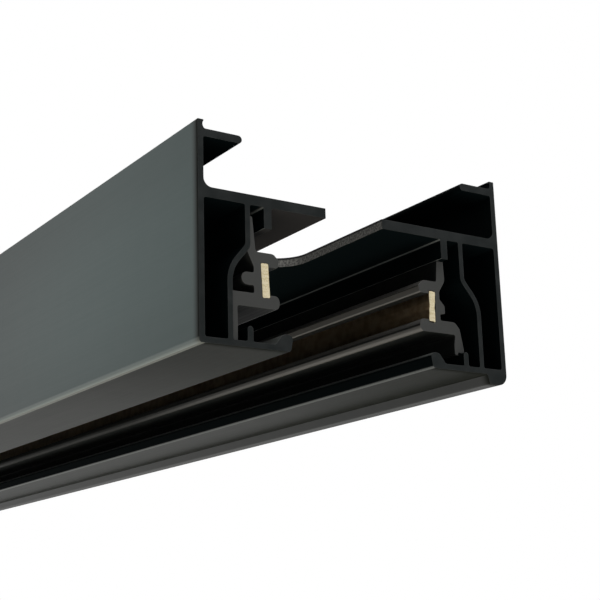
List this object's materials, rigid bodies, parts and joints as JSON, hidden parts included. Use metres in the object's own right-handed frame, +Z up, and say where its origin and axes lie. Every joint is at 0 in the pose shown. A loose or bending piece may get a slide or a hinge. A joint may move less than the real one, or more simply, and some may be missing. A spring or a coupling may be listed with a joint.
{
  "type": "busway section",
  "caption": "Straight length of slotted busway track: an extruded housing with a hanger channel above, a plug-in slot below and insulated conductor strips inside.",
  "frame": {"origin": "on the floor plane, midway between the side walls and midway along the length", "axes": "+Y along the length with the notched front end at -Y, +Z up with the hanger channel on top and the plug-in slot underneath, +X towards the keying ridge"},
  "size_m": [0.054, 1, 0.0331],
  "materials": {
    "housing": "satin black coating",
    "insulator": "matte extruded plastic",
    "conductor": "bare, drawn"
  },
  "bodies": {
    "root": {"housing": "housing", "insulator_left": "insulator", "insulator_right": "insulator", "conductor_left": "conductor", "conductor_right": "conductor"}
  },
  "joints": []
}
